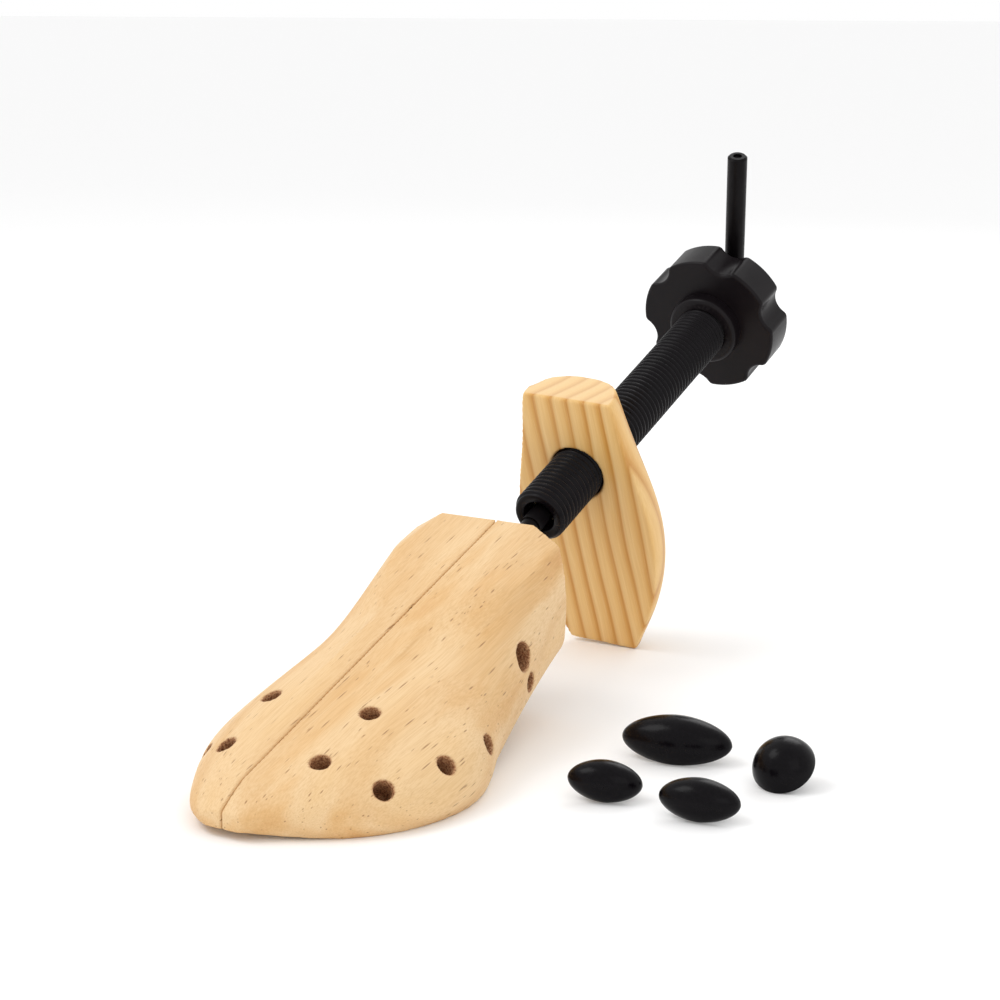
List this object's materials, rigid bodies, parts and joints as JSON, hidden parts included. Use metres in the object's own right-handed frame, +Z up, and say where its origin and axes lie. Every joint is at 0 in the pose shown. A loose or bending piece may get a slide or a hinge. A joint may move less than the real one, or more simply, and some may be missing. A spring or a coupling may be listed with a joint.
{
  "type": "shoe_tree",
  "caption": "Adjustable wooden shoe stretcher: split toe block, heel block, threaded black tube with star knob, bent steel crank and loose black relief plugs.",
  "frame": {"origin": "centre of the bounding box on the floor plane, with the sole at z = 0", "axes": "+Y runs from the toe to the knob, +X is the side with the loose plugs, +Z is up"},
  "size_m": [0.1556, 0.3077, 0.1651],
  "materials": {
    "toe_wood": "sanded pale hardwood with short dark pores",
    "heel_wood": "sanded softwood with bold growth rings",
    "tube_plastic": "moulded black plastic with a satin sheen",
    "bush_plastic": "natural bearing plastic",
    "black_steel": "black oxide with light wear",
    "plated_steel": "zinc plated",
    "plug_plastic": "glossy moulded black plastic"
  },
  "bodies": {
    "yoke": {"toe_yoke": "plated_steel", "yoke_gland": "plated_steel", "hinge_pin_upper": "plated_steel", "hinge_pin_lower": "plated_steel"},
    "half_right": {"toe_half_right": "toe_wood", "hinge_leaf_right": "plated_steel", "leaf_screws_right": "plated_steel", "ramp_plate_right": "plated_steel", "ramp_screws_right": "plated_steel", "spring_anchor_right": "plated_steel", "closing_spring": "plated_steel"},
    "half_left": {"toe_half_left": "toe_wood", "hinge_leaf_left": "plated_steel", "leaf_screws_left": "plated_steel", "ramp_plate_left": "plated_steel", "ramp_screws_left": "plated_steel", "spring_anchor_left": "plated_steel"},
    "crank": {"crank_rod": "black_steel", "rod_flange": "plated_steel", "thrust_collar": "plated_steel", "rear_washer": "black_steel"},
    "spreader": {"spreader_nut": "plated_steel"},
    "tube": {"threaded_tube": "tube_plastic", "adjustment_knob": "tube_plastic", "knob_pin": "plated_steel", "tube_bush_front": "bush_plastic", "tube_bush_rear": "bush_plastic"},
    "heel": {"heel_block": "heel_wood", "heel_insert": "tube_plastic", "insert_screws": "plated_steel"},
    "plug_long_body": {"plug_long": "plug_plastic"},
    "plug_oval_a_body": {"plug_oval_a": "plug_plastic"},
    "plug_oval_b_body": {"plug_oval_b": "plug_plastic"},
    "plug_round_body": {"plug_round": "plug_plastic"}
  },
  "joints": [
    {"name": "crank_turn", "type": "hinge", "parent": "yoke", "child": "crank", "pos_m": [-0.04143, -0.01386, 0.0454], "axis": [0, 0.9291, 0.3697], "range_deg": [0, 1800]},
    {"name": "spreader_travel", "type": "slide", "parent": "yoke", "child": "spreader", "axis": [0, -0.9291, -0.3697], "range_m": [0, 0.01]},
    {"name": "right_swing", "type": "hinge", "parent": "yoke", "child": "half_right", "pos_m": [-0.04143, -0.01386, 0.0522], "axis": [0, 0, 1], "range_deg": [0, 5.31], "deforming": ["closing_spring"]},
    {"name": "left_swing", "type": "hinge", "parent": "yoke", "child": "half_left", "pos_m": [-0.04143, -0.01386, 0.0522], "axis": [0, 0, -1], "range_deg": [0, 5.31]},
    {"name": "knob_turn", "type": "hinge", "parent": "yoke", "child": "tube", "pos_m": [-0.04143, -0.01386, 0.0454], "axis": [0, 0.9291, 0.3697], "range_deg": [-3520, 10560]},
    {"name": "heel_travel", "type": "slide", "parent": "yoke", "child": "heel", "axis": [0, 0.9291, 0.3697], "range_m": [-0.022, 0.066]},
    {"name": "plug_long_lift", "type": "slide", "parent": "yoke", "child": "plug_long_body", "axis": [0, 0, 1], "range_m": [0, 0.03]},
    {"name": "plug_oval_a_lift", "type": "slide", "parent": "yoke", "child": "plug_oval_a_body", "axis": [0, 0, 1], "range_m": [0, 0.03]},
    {"name": "plug_oval_b_lift", "type": "slide", "parent": "yoke", "child": "plug_oval_b_body", "axis": [0, 0, 1], "range_m": [0, 0.03]},
    {"name": "plug_round_lift", "type": "slide", "parent": "yoke", "child": "plug_round_body", "axis": [0, 0, 1], "range_m": [0, 0.03]}
  ],
  "couplings": [
    {"joint": "spreader_travel", "follows": "crank_turn", "m_per_rad": 0.00031831},
    {"joint": "right_swing", "follows": "crank_turn", "ratio": 0.00295},
    {"joint": "left_swing", "follows": "crank_turn", "ratio": 0.00295},
    {"joint": "heel_travel", "follows": "knob_turn", "m_per_rad": 0.0003581}
  ]
}
